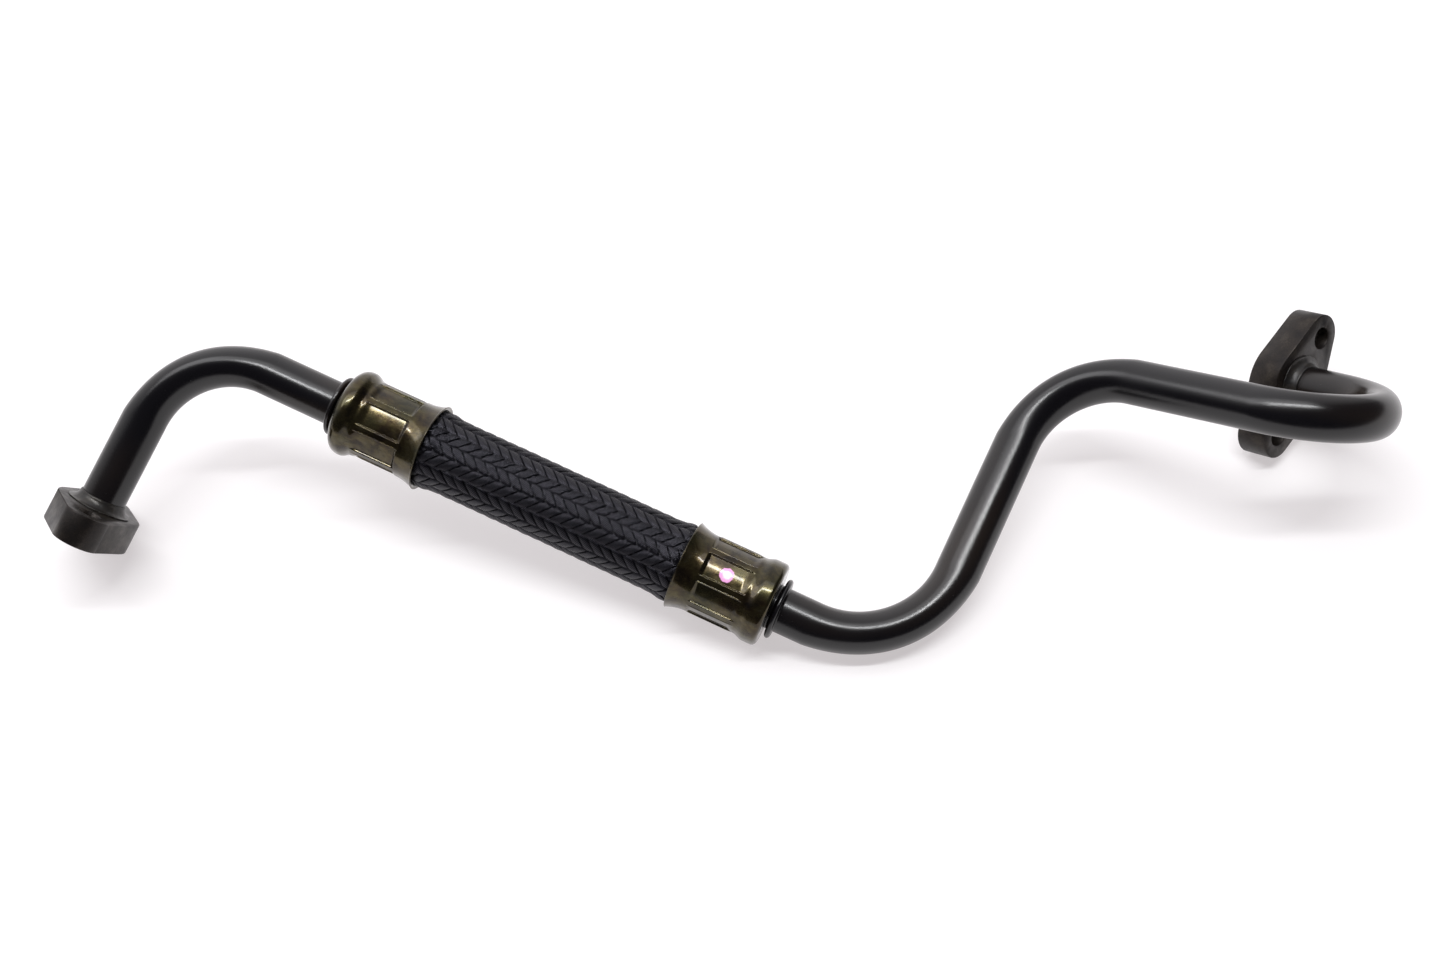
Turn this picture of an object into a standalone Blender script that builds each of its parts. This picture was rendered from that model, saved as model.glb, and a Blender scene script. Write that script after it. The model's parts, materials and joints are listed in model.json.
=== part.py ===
"""Oil cooler line: two bent steel tubes, a braided hose crimped between them by two ferrules,
and a two-bolt flange brazed on each outer end. It lies on a flat surface as it comes to rest.

The line is drawn with the hose along X, then laid down on its three points of contact.
Metres and degrees, +Z up.
"""
from collections import namedtuple
from math import acos, atan2, ceil, cos, degrees, hypot, pi, radians, sin

import bmesh
import bpy
import numpy as np
from mathutils import Matrix, Quaternion, Vector

# Clearance between pieces that touch, and how far a cutter runs past the face that it opens
SEAT_GAP = 0.0003
OVERSHOOT = 0.0020

# Steel tubes
TUBE_RADIUS = 0.0070
TUBE_WALL = 0.00125
STEM_RADIUS = 0.0057
STEM_LENGTH = 0.0255
STEM_TAPER = 0.0025
BARB_COUNT = 3
BARB_PITCH = 0.0060
BARB_LEAD = 0.0042
BEAD_RADIUS = 0.0096
BEAD_WIDTH = 0.0020
BEAD_STANDOFF = 0.0010
BEND_OUTER_FLATTENING = 0.13
BEND_INNER_FLATTENING = 0.03
BEND_WIDENING = 0.02

# Bends, counted from the hose outward: straight run before the bend, roll about the tube since
# the last bend, bend angle, and radius of the tube's centre line
Bend = namedtuple("Bend", "run roll angle radius")
COOLER_BENDS = [Bend(0.0266, 161.0, 86.5, 0.0315)]
COOLER_END_RUN = 0.0310
COOLER_FLANGE_CLOCKING = 72.5
ENGINE_BENDS = [
    Bend(0.0125, 2.5, 89.5, 0.034),
    Bend(0.0460, 147.5, 91.5, 0.028),
    Bend(0.0405, 126.0, 169.5, 0.025),
]
ENGINE_END_RUN = 0.0145
ENGINE_FLANGE_CLOCKING = 116.0

# Hose layers, from the bore outward, where nothing squeezes them
HOSE_VISIBLE_LENGTH = 0.0860
HOSE_BORE_RADIUS = 0.0065
LINER_WALL = 0.0018
REINFORCEMENT_WALL = 0.0008
COVER_WALL = 0.0013
BRAID_WALL = 0.0009
BRAID_SWELL = 0.0007
BRAID_SWELL_LENGTH = 0.0070
BRAID_PITCH = 0.00381
BRAID_RIDGE_HEIGHT = 0.00035
BRAID_COLUMNS = 18
BRAID_SLANT = 41.6

# Ferrules, measured along the axis from the open mouth to the closed end
FERRULE_LENGTH = 0.0300
FERRULE_WALL = 0.0011
FERRULE_END_WALL = 0.0014
WAIST_RADIUS = 0.01245
FLARE_LENGTH = 0.0065
FLARE_RISE = 0.0015
POCKET_COUNT = 8
POCKET_SLOPE = 0.0009
POCKET_HALF_ANGLE = 17.5
POCKET_WALL_ANGLE = 1.3
POCKET_APOTHEM = 0.01165
SHOULDER_LENGTH = 0.0035
BULGE_LENGTH = 0.0042
COOLER_BULGE_RADIUS = 0.0139
COOLER_END_ROUNDING = 0.0036
ENGINE_BULGE_RADIUS = 0.0134
ENGINE_END_ROUNDING = 0.0016
COOLER_POCKET_CLOCKING = -5.0
ENGINE_POCKET_CLOCKING = -8.0

# Flanges
FLANGE_THICKNESS = 0.0100
FLANGE_CENTRE_RADIUS = 0.0135
FLANGE_EAR_RADIUS = 0.0075
FLANGE_EDGE = 0.0006
BOLT_PITCH = 0.0340
BOLT_HOLE_RADIUS = 0.0035
SOCKET_DEPTH = 0.0060
PORT_RADIUS = 0.0055
SEAL_RADIUS = 0.0096
SEAL_CORD_RADIUS = 0.0010
SEAL_GROOVE_WIDTH = 0.0027
BRAZE_LEG = 0.0030
BRAZE_HEIGHT = 0.0032
BRAZE_EDGE = 0.0004

# How it lies: the side that faces down as drawn, and the hose's heading on the floor
SIDE_DOWN = Vector((0.199, -0.195, -0.960))
HOSE_HEADING = -25.0

# Densities in kilograms per cubic metre, which decide the side that it lies on
STEEL = 7850.0
RUBBER = 1200.0
TEXTILE = 900.0

# Facets
TUBE_SIDES_RESOLUTION = 6
BEND_STEP = 10.0
TURNED_SIDES = 24
ARC_STEP = 15.0

POCKET_LENGTH = FERRULE_LENGTH - FLARE_LENGTH - SHOULDER_LENGTH - BULGE_LENGTH
LIP = HOSE_VISIBLE_LENGTH / 2 + FERRULE_LENGTH
LAYERS = [
    ("hose_liner", LINER_WALL),
    ("hose_reinforcement", REINFORCEMENT_WALL),
    ("hose_cover", COVER_WALL),
    ("hose_braid", BRAID_WALL),
]
HOSE_RADIUS = HOSE_BORE_RADIUS + sum(wall for _, wall in LAYERS) + (len(LAYERS) - 1) * SEAT_GAP
BARB_RADIUS = HOSE_BORE_RADIUS - SEAT_GAP

Station = namedtuple("Station", "point heading side squash")


# Scene and materials

def clear_scene():
    for item in list(bpy.data.objects):
        bpy.data.objects.remove(item, do_unlink=True)


def new_collection(name):
    collection = bpy.data.collections.new(name)
    bpy.context.scene.collection.children.link(collection)
    return collection


def material(name, colour, roughness, metallic=0.0):
    made = bpy.data.materials.new(name)
    made.use_nodes = True
    shader = made.node_tree.nodes["Principled BSDF"]
    shader.inputs["Base Color"].default_value = (*colour, 1.0)
    shader.inputs["Roughness"].default_value = roughness
    shader.inputs["Metallic"].default_value = metallic
    return made


def link(name, data, collection):
    made = bpy.data.objects.new(name, data)
    collection.objects.link(made)
    return made


def hide_cutter(cutter):
    cutter.hide_render = True
    cutter.display_type = "WIRE"
    return cutter


def cut(target, cutter):
    modifier = target.modifiers.new("cut_" + cutter.name, "BOOLEAN")
    modifier.operation = "DIFFERENCE"
    modifier.solver = "EXACT"
    modifier.object = cutter


def finish(piece, look, sharp_angle=30.0):
    piece.data.materials.clear()
    piece.data.materials.append(look)
    piece.data.shade_smooth()
    piece.data.set_sharp_from_angle(angle=radians(sharp_angle))
    return piece


# Routes

def tangent_frame(point, heading, side):
    """A matrix with local Z along the heading and local X toward the given side."""
    z_axis = heading.normalized()
    x_axis = (side - side.dot(z_axis) * z_axis).normalized()
    y_axis = z_axis.cross(x_axis)
    frame = Matrix((x_axis, y_axis, z_axis)).transposed().to_4x4()
    frame.translation = point
    return frame


def bent_route(start, heading, side, bends, end_run):
    """Stations at the ends of each straight run and along each bend."""
    point, heading, side = start.copy(), heading.normalized(), side.normalized()
    stations = []
    for bend in bends:
        point = point + heading * bend.run
        side = Quaternion(heading, radians(bend.roll)) @ side
        axis = heading.cross(side)
        centre = point + side * bend.radius
        steps = ceil(bend.angle / BEND_STEP)
        for step in range(steps + 1):
            turn = Quaternion(axis, radians(bend.angle) * step / steps)
            squash = min(1.0, 1.5 * sin(pi * step / steps))
            along = centre + turn @ (point - centre)
            stations.append(Station(along, turn @ heading, turn @ side, squash))
        point, heading, side = stations[-1].point, stations[-1].heading, stations[-1].side
    stations.append(Station(point + heading * end_run, heading, side, 0.0))
    return stations


def on_axis(start, heading, side, distance):
    return Station(start + heading * distance, heading, side, 0.0)


def swept_mesh(name, path, collection):
    """A solid round bar along (station, radius) pairs, oval where a bend flattens it."""
    curve = bpy.data.curves.new(name, "CURVE")
    curve.dimensions = "3D"
    curve.fill_mode = "FULL"
    curve.bevel_depth = TUBE_RADIUS
    curve.bevel_resolution = TUBE_SIDES_RESOLUTION
    curve.use_fill_caps = True
    spline = curve.splines.new("POLY")
    spline.points.add(len(path) - 1)
    for control, (station, radius) in zip(spline.points, path):
        control.co = (*station.point, 1.0)
        control.radius = radius / TUBE_RADIUS
    guide = link(name + "_guide", curve, collection)
    bpy.context.view_layer.update()
    mesh = bpy.data.meshes.new_from_object(guide.evaluated_get(bpy.context.evaluated_depsgraph_get()))
    bpy.data.objects.remove(guide, do_unlink=True)
    work = bmesh.new()
    work.from_mesh(mesh)
    bmesh.ops.remove_doubles(work, verts=work.verts, dist=1e-6)
    flatten_bends(work, [station for station, _ in path])
    bmesh.ops.recalc_face_normals(work, faces=work.faces)
    work.to_mesh(mesh)
    work.free()
    return link(name, mesh, collection)


def flatten_bends(work, stations):
    """Bending pulls a tube's outer wall in and widens it a little across the bend."""
    centres = np.array([station.point for station in stations])
    for vertex in work.verts:
        nearest = int(np.argmin(((centres - np.array(vertex.co)) ** 2).sum(axis=1)))
        station = stations[nearest]
        across = station.heading.cross(station.side)
        offset = vertex.co - station.point
        inward = offset.dot(station.side)
        share = BEND_INNER_FLATTENING if inward > 0 else BEND_OUTER_FLATTENING
        vertex.co -= station.side * inward * share * station.squash
        vertex.co += across * offset.dot(across) * BEND_WIDENING * station.squash


# Turned pieces: profiles are closed loops of (distance along local Z, radius)

def turned(name, profile, sides, collection):
    mesh = bpy.data.meshes.new(name)
    count = len(profile)
    points = [(radius, 0.0, along) for along, radius in profile]
    mesh.from_pydata(points, [(i, (i + 1) % count) for i in range(count)], [])
    piece = link(name, mesh, collection)
    screw = piece.modifiers.new("turn", "SCREW")
    screw.steps = sides
    screw.render_steps = sides
    screw.use_merge_vertices = True
    screw.merge_threshold = 1e-6
    bpy.context.view_layer.update()
    solid = bpy.data.meshes.new_from_object(piece.evaluated_get(bpy.context.evaluated_depsgraph_get()))
    piece.modifiers.clear()
    piece.data = solid
    bpy.data.meshes.remove(mesh)
    work = bmesh.new()
    work.from_mesh(solid)
    bmesh.ops.recalc_face_normals(work, faces=work.faces)
    work.to_mesh(solid)
    work.free()
    solid.name = name
    return piece


def bar_profile(low, high, radius):
    """A plain round bar; its two ends lie on the axis."""
    return [(high, 0.0), (high, radius), (low, radius), (low, 0.0)]


def turned_cutter(name, profile, frame, collection):
    cutter = turned(name, profile, TURNED_SIDES, collection)
    cutter.matrix_world = frame
    return hide_cutter(cutter)


# Ferrules

def ferrule_outline(bulge_radius, end_rounding):
    """(distance from the mouth, outer radius), mouth to closed end."""
    outline = []
    flare_steps = 3
    for step in range(flare_steps):
        share = step / flare_steps
        outline.append((share * FLARE_LENGTH, WAIST_RADIUS + FLARE_RISE * (1 - share) ** 2))
    pocket_end = FLARE_LENGTH + POCKET_LENGTH
    for along in (FLARE_LENGTH, FLARE_LENGTH + POCKET_SLOPE, pocket_end - POCKET_SLOPE, pocket_end):
        outline.append((along, WAIST_RADIUS))
    shoulder_steps = 3
    for step in range(1, shoulder_steps + 1):
        rise = (1 - cos(pi * step / shoulder_steps)) / 2
        along = pocket_end + SHOULDER_LENGTH * step / shoulder_steps
        outline.append((along, WAIST_RADIUS + (bulge_radius - WAIST_RADIUS) * rise))
    rounding_steps = 3
    for step in range(rounding_steps + 1):
        angle = pi / 2 * step / rounding_steps
        along = FERRULE_LENGTH - end_rounding * (1 - sin(angle))
        outline.append((along, bulge_radius - end_rounding * (1 - cos(angle))))
    return outline


def inner_radius(along, outline):
    """Radius inside the ferrule: a wall's thickness in from the outline and from the pockets."""
    if FLARE_LENGTH < along < FLARE_LENGTH + POCKET_LENGTH:
        return POCKET_APOTHEM - FERRULE_WALL
    stations = [station for station, _ in outline]
    radii = [radius for _, radius in outline]
    return float(np.interp(along, stations, radii)) - FERRULE_WALL


def inner_stations(end_rounding):
    """Where the inside of the ferrule, and the hose squeezed in it, change radius."""
    waist = [FLARE_LENGTH + POCKET_SLOPE, FLARE_LENGTH + POCKET_LENGTH - POCKET_SLOPE]
    bulge_start = FERRULE_LENGTH - BULGE_LENGTH
    bulge_end = FERRULE_LENGTH - max(end_rounding, 2 * FERRULE_END_WALL)
    room_end = FERRULE_LENGTH - FERRULE_END_WALL
    return [0.0, FLARE_LENGTH / 2] + waist + [bulge_start, bulge_end, room_end]


def ferrule(name, bulge_radius, end_rounding, clocking, frame, look, parts):
    outline = ferrule_outline(bulge_radius, end_rounding)
    lip_radius = TUBE_RADIUS + SEAT_GAP
    outer = outline + [(FERRULE_LENGTH, lip_radius)]
    room = [(along, inner_radius(along, outline)) for along in inner_stations(end_rounding)]
    inner = [(room[-1][0], lip_radius)] + room[::-1]
    profile = (outer + inner)[::-1]
    sides = POCKET_COUNT * 5
    piece = turned(name, profile, sides, parts)
    press_pockets(piece.data)
    piece.matrix_world = frame @ Matrix.Rotation(radians(clocking), 4, "Z")
    return finish(piece, look, 20.0)


def press_pockets(mesh):
    """Gathers the turned columns into lands and flat-bottomed pockets, then presses the pockets."""
    sector = 360.0 / POCKET_COUNT
    foot = POCKET_HALF_ANGLE - POCKET_WALL_ANGLE
    columns = [-POCKET_HALF_ANGLE, -foot, 0.0, foot, POCKET_HALF_ANGLE]
    for vertex in mesh.vertices:
        radius = hypot(vertex.co.x, vertex.co.y)
        turn = degrees(atan2(vertex.co.y, vertex.co.x)) % 360.0
        column = round(turn / (sector / len(columns)))
        pocket = column // len(columns)
        angle = columns[column % len(columns)]
        along = vertex.co.z
        pressed_from = FLARE_LENGTH + POCKET_SLOPE / 2
        pressed_to = FLARE_LENGTH + POCKET_LENGTH - POCKET_SLOPE / 2
        outside = radius > POCKET_APOTHEM - FERRULE_WALL / 2
        if outside and pressed_from < along < pressed_to and abs(angle) < POCKET_HALF_ANGLE:
            radius = POCKET_APOTHEM / cos(radians(angle))
        place = radians(pocket * sector + angle)
        vertex.co.x = radius * cos(place)
        vertex.co.y = radius * sin(place)
    mesh.update()


# Hose

def hose_stations():
    """(place along X, outer radius of the whole hose) from the cooler end to the engine end."""
    mouth = HOSE_VISIBLE_LENGTH / 2
    stations = []
    for sign, bulge_radius, end_rounding in (
        (-1, COOLER_BULGE_RADIUS, COOLER_END_ROUNDING),
        (1, ENGINE_BULGE_RADIUS, ENGINE_END_ROUNDING),
    ):
        outline = ferrule_outline(bulge_radius, end_rounding)
        *squeezed, room_end = inner_stations(end_rounding)
        for along in squeezed:
            stations.append((sign * (mouth + along), inner_radius(along, outline) - SEAT_GAP))
        tip = sign * (mouth + room_end - SEAT_GAP)
        stations.append((tip, inner_radius(room_end, outline) - SEAT_GAP))
        for share, swell in ((0.2, 1.0), (0.55, 0.5), (1.0, 0.0)):
            place = sign * (mouth - BRAID_SWELL_LENGTH * share)
            stations.append((place, HOSE_RADIUS + BRAID_SWELL * swell))
    return sorted(stations)


def layer_profile(index):
    """Outer and inner radius of a layer along the hose; squeezed layers share what room is left."""
    gaps = (len(LAYERS) - 1) * SEAT_GAP
    walls = [wall for _, wall in LAYERS]
    outer, inner = [], []
    for place, hose_radius in hose_stations():
        squeeze = min(1.0, (hose_radius - HOSE_BORE_RADIUS - gaps) / sum(walls))
        inside = HOSE_BORE_RADIUS + sum(walls[:index]) * squeeze + index * SEAT_GAP
        outer.append((place, inside + walls[index] * squeeze))
        inner.append((place, inside))
    return outer, inner


def hose_layer(index, look, parts):
    name = LAYERS[index][0]
    outer, inner = layer_profile(index)
    piece = turned(name, outer[::-1] + inner, TURNED_SIDES, parts)
    piece.matrix_world = Matrix.Rotation(pi / 2, 4, "Y")
    return finish(piece, look)


def braid(look, parts, cutters):
    """The outer sleeve: rows of chevron ridges that run round the hose, with a plain bore."""
    name = LAYERS[-1][0]
    _, inner = layer_profile(len(LAYERS) - 1)
    stations = hose_stations()
    mouth = HOSE_VISIBLE_LENGTH / 2
    column_width = 2 * pi * HOSE_RADIUS / BRAID_COLUMNS
    slant = column_width * sin(radians(BRAID_SLANT)) / cos(radians(BRAID_SLANT))
    margin = slant / 2 + BRAID_PITCH / 4
    rows = int((2 * mouth - 2 * margin) / (BRAID_PITCH / 2))
    first = -rows * BRAID_PITCH / 4
    ridged = [first + row * BRAID_PITCH / 2 for row in range(rows + 1)]
    plain = [place for place, _ in stations if abs(place) >= mouth]
    profile = []
    for place in sorted(plain + ridged, reverse=True):
        radius = float(np.interp(place, [p for p, _ in stations], [r for _, r in stations]))
        if place in ridged:
            radius += BRAID_RIDGE_HEIGHT * (0.5 if ridged.index(place) % 2 else -0.5)
        profile.append((place, radius))
    profile = [(profile[0][0], 0.0)] + profile + [(profile[-1][0], 0.0)]
    piece = turned(name, profile, BRAID_COLUMNS, parts)
    for vertex in piece.data.vertices:
        column = round((atan2(vertex.co.y, vertex.co.x) % (2 * pi)) / (2 * pi / BRAID_COLUMNS))
        if abs(vertex.co.z) <= -first + 1e-5 and hypot(vertex.co.x, vertex.co.y) > HOSE_BORE_RADIUS:
            vertex.co.z += slant / 2 if column % 2 else -slant / 2
    piece.data.update()
    low, high = inner[0][0] - OVERSHOOT, inner[-1][0] + OVERSHOOT
    bore = [(high, 0.0), (high, inner[-1][1])] + inner[::-1] + [(low, inner[0][1]), (low, 0.0)]
    along_x = Matrix.Rotation(pi / 2, 4, "Y")
    piece.matrix_world = along_x
    cut(piece, turned_cutter(name + "_bore", bore, along_x, cutters))
    return finish(piece, look, 60.0)


# Tubes

def stem_path(start, heading, side):
    """Barbed stem inside the hose, the taper up to full size at the lip, and the rolled bead."""
    tip = LIP - STEM_LENGTH
    lip_start = LIP - FERRULE_END_WALL - SEAT_GAP
    path = []
    barb_step = 0.0002
    path.append((tip, STEM_RADIUS))
    for barb in range(BARB_COUNT):
        foot = tip + barb * BARB_PITCH + barb_step
        path.append((foot, STEM_RADIUS))
        path.append((foot + BARB_LEAD, BARB_RADIUS))
        path.append((foot + BARB_LEAD + barb_step, STEM_RADIUS))
    path.append((lip_start - STEM_TAPER, STEM_RADIUS))
    path.append((lip_start, BARB_RADIUS))
    path.append((lip_start + SEAT_GAP, TUBE_RADIUS))
    bead = LIP + BEAD_STANDOFF
    steps = 6
    for step in range(steps + 1):
        angle = pi * step / steps
        along = bead + BEAD_WIDTH / 2 * (1 - cos(angle))
        path.append((along, TUBE_RADIUS + (BEAD_RADIUS - TUBE_RADIUS) * sin(angle) ** 0.5))
    return [(on_axis(start, heading, side, along), radius) for along, radius in path]


def tube(name, sign, bends, end_run, look, parts, cutters):
    """One steel tube from its barbed end in the hose to its seat in the flange."""
    centre, heading, side = Vector((0, 0, 0)), Vector((sign, 0, 0)), Vector((0, 1, 0))
    route = bent_route(centre + heading * LIP, heading, side, bends, end_run)
    face = route[-1]
    seat = Station(face.point + face.heading * (SOCKET_DEPTH - SEAT_GAP), face.heading, face.side, 0.0)
    path = stem_path(centre, heading, side) + [(station, TUBE_RADIUS) for station in route[:-1]]
    path.append((seat, TUBE_RADIUS))
    piece = swept_mesh(name, path, parts)
    bore_radius = TUBE_RADIUS - TUBE_WALL
    stem_bore = STEM_RADIUS - TUBE_WALL
    lip_start = LIP - FERRULE_END_WALL - SEAT_GAP
    bore = [
        (on_axis(centre, heading, side, LIP - STEM_LENGTH - OVERSHOOT), stem_bore),
        (on_axis(centre, heading, side, lip_start - STEM_TAPER), stem_bore),
        (on_axis(centre, heading, side, lip_start), BARB_RADIUS - TUBE_WALL),
        (on_axis(centre, heading, side, LIP), bore_radius),
    ]
    bore += [(station, bore_radius) for station in route[:-1]]
    past = Station(seat.point + face.heading * OVERSHOOT, face.heading, face.side, 0.0)
    bore.append((past, bore_radius))
    cut(piece, hide_cutter(swept_mesh(name + "_bore", bore, cutters)))
    finish(piece, look, 40.0)
    return face


# Flanges

def flange_outline():
    """Two ears joined to a round middle by straight tangents."""
    half_pitch = BOLT_PITCH / 2
    tangent = acos((FLANGE_CENTRE_RADIUS - FLANGE_EAR_RADIUS) / half_pitch)

    def arc(centre_x, radius, start, end):
        steps = max(2, ceil(degrees(end - start) / ARC_STEP))
        return [(centre_x + radius * cos(start + (end - start) * step / steps),
                 radius * sin(start + (end - start) * step / steps)) for step in range(steps + 1)]

    right = arc(half_pitch, FLANGE_EAR_RADIUS, -tangent, tangent)
    top = arc(0.0, FLANGE_CENTRE_RADIUS, tangent, pi - tangent)
    left = arc(-half_pitch, FLANGE_EAR_RADIUS, pi - tangent, pi + tangent)
    bottom = arc(0.0, FLANGE_CENTRE_RADIUS, pi + tangent, 2 * pi - tangent)
    return right + top + left + bottom


def flange(name, frame, look, parts, cutters):
    """Local Z runs from the tube's side to the mating face, local X along the bolt holes."""
    curve = bpy.data.curves.new(name, "CURVE")
    curve.dimensions = "2D"
    curve.fill_mode = "BOTH"
    curve.extrude = FLANGE_THICKNESS / 2
    spline = curve.splines.new("POLY")
    outline = flange_outline()
    spline.points.add(len(outline) - 1)
    for control, (x, y) in zip(spline.points, outline):
        control.co = (x, y, 0.0, 1.0)
    spline.use_cyclic_u = True
    guide = link(name + "_guide", curve, cutters)
    bpy.context.view_layer.update()
    mesh = bpy.data.meshes.new_from_object(guide.evaluated_get(bpy.context.evaluated_depsgraph_get()))
    bpy.data.objects.remove(guide, do_unlink=True)
    work = bmesh.new()
    work.from_mesh(mesh)
    bmesh.ops.remove_doubles(work, verts=work.verts, dist=1e-5)
    bmesh.ops.dissolve_limit(work, angle_limit=radians(1), verts=work.verts, edges=work.edges)
    bmesh.ops.translate(work, verts=work.verts, vec=(0, 0, FLANGE_THICKNESS / 2))
    bmesh.ops.recalc_face_normals(work, faces=work.faces)
    work.to_mesh(mesh)
    work.free()
    piece = link(name, mesh, parts)
    piece.matrix_world = frame
    bevel = piece.modifiers.new("edges", "BEVEL")
    bevel.width = FLANGE_EDGE
    bevel.segments = 1
    bevel.limit_method = "ANGLE"
    bevel.angle_limit = radians(60)
    past = FLANGE_THICKNESS + OVERSHOOT
    for label, offset in (("a", BOLT_PITCH / 2), ("b", -BOLT_PITCH / 2)):
        hole = bar_profile(-OVERSHOOT, past, BOLT_HOLE_RADIUS)
        place = frame @ Matrix.Translation((offset, 0, 0))
        cut(piece, turned_cutter(name + "_bolt_" + label, hole, place, cutters))
    socket = TUBE_RADIUS + SEAT_GAP
    bore = [
        (past, 0.0), (past, PORT_RADIUS), (SOCKET_DEPTH, PORT_RADIUS),
        (SOCKET_DEPTH, socket), (-OVERSHOOT, socket), (-OVERSHOOT, 0.0),
    ]
    cut(piece, turned_cutter(name + "_socket", bore, frame, cutters))
    floor = FLANGE_THICKNESS - 2 * SEAL_CORD_RADIUS - SEAT_GAP
    groove_out = SEAL_RADIUS + SEAL_GROOVE_WIDTH / 2
    groove_in = SEAL_RADIUS - SEAL_GROOVE_WIDTH / 2
    groove = [(past, groove_out), (floor, groove_out), (floor, groove_in), (past, groove_in)]
    cut(piece, turned_cutter(name + "_groove", groove, frame, cutters))
    return finish(piece, look)


def seal(name, frame, look, parts):
    """An O-ring in the mating face's groove, level with the face as when it is bolted down."""
    steps = 10
    centre = FLANGE_THICKNESS - SEAL_CORD_RADIUS
    profile = [(centre + SEAL_CORD_RADIUS * cos(2 * pi * step / steps),
                SEAL_RADIUS + SEAL_CORD_RADIUS * sin(2 * pi * step / steps)) for step in range(steps)]
    piece = turned(name, profile, TURNED_SIDES, parts)
    piece.matrix_world = frame
    return finish(piece, look, 60.0)


def braze(name, frame, look, parts):
    """A hollow-faced fillet in the corner between the tube and the flange."""
    foot = TUBE_RADIUS + SEAT_GAP
    steps = 4
    hollow = []
    for step in range(steps + 1):
        angle = pi / 2 * step / steps
        out = BRAZE_EDGE + (BRAZE_LEG - BRAZE_EDGE) * (1 - sin(angle))
        up = BRAZE_EDGE + (BRAZE_HEIGHT - BRAZE_EDGE) * (1 - cos(angle))
        hollow.append((-SEAT_GAP - up, foot + out))
    profile = [(-SEAT_GAP, foot)] + [(-SEAT_GAP, foot + BRAZE_LEG)] + hollow
    profile.append((-SEAT_GAP - BRAZE_HEIGHT, foot))
    piece = turned(name, profile, TURNED_SIDES, parts)
    piece.matrix_world = frame
    return finish(piece, look, 50.0)


# Laying the line down

def solid_points(piece):
    graph = bpy.context.evaluated_depsgraph_get()
    evaluated = piece.evaluated_get(graph)
    mesh = evaluated.to_mesh()
    mesh.calc_loop_triangles()
    points = np.array([piece.matrix_world @ vertex.co for vertex in mesh.vertices])
    triangles = np.array([triangle.vertices[:] for triangle in mesh.loop_triangles])
    evaluated.to_mesh_clear()
    return points, triangles


def mass_and_moment(points, triangles, density):
    a, b, c = (points[triangles[:, corner]] for corner in range(3))
    volumes = np.einsum("ij,ij->i", a, np.cross(b, c)) / 6
    return density * volumes.sum(), density * ((a + b + c) / 4 * volumes[:, None]).sum(axis=0)


def resting_face(points, centre):
    """The hull face that the line can lie on whose normal is nearest to SIDE_DOWN."""
    hull = bmesh.new()
    for point in points:
        hull.verts.new(point)
    bmesh.ops.convex_hull(hull, input=hull.verts)
    hull.normal_update()
    best = None
    for face in hull.faces:
        normal = face.normal
        if (face.calc_center_median() - centre).dot(normal) < 0:
            normal = -normal
        foot = centre + normal * (face.verts[0].co - centre).dot(normal)
        corners = [vertex.co for vertex in face.verts]
        sides = zip(corners[-1:] + corners[:-1], corners)
        turns = [(end - start).cross(foot - start).dot(normal) for start, end in sides]
        stable = min(turns) >= 0 or max(turns) <= 0
        if stable and (best is None or normal.dot(SIDE_DOWN) > best.dot(SIDE_DOWN)):
            best = normal.copy()
    hull.free()
    return best


def lay_down(parts, densities):
    """Turns the line onto its contact points, heads it, and puts the box's bottom centre at 0."""
    bpy.context.view_layer.update()
    clouds, mass, moment = [], 0.0, np.zeros(3)
    for piece in parts.objects:
        points, triangles = solid_points(piece)
        piece_mass, piece_moment = mass_and_moment(points, triangles, densities[piece.name])
        clouds.append(points)
        mass += piece_mass
        moment += piece_moment
    cloud = np.vstack(clouds)
    down = resting_face(cloud, Vector(moment / mass))
    settle = down.rotation_difference(Vector((0, 0, -1))).to_matrix()
    hose = settle @ Vector((1, 0, 0))
    heading = Matrix.Rotation(radians(HOSE_HEADING) - atan2(hose.y, hose.x), 3, "Z")
    turn = heading @ settle
    laid = cloud @ np.array(turn).T
    low, high = laid.min(axis=0), laid.max(axis=0)
    shift = Vector((-(low[0] + high[0]) / 2, -(low[1] + high[1]) / 2, -low[2]))
    laying = Matrix.Translation(shift) @ turn.to_4x4()
    carrier = link("resting_place", None, bpy.context.scene.collection)
    carrier.matrix_world = laying
    bpy.context.view_layer.update()
    for piece in bpy.data.objects:
        if piece is not carrier:
            place = piece.matrix_world.copy()
            piece.parent = carrier
            piece.matrix_parent_inverse = Matrix.Identity(4)
            piece.matrix_basis = place
    bpy.context.view_layer.update()


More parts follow.
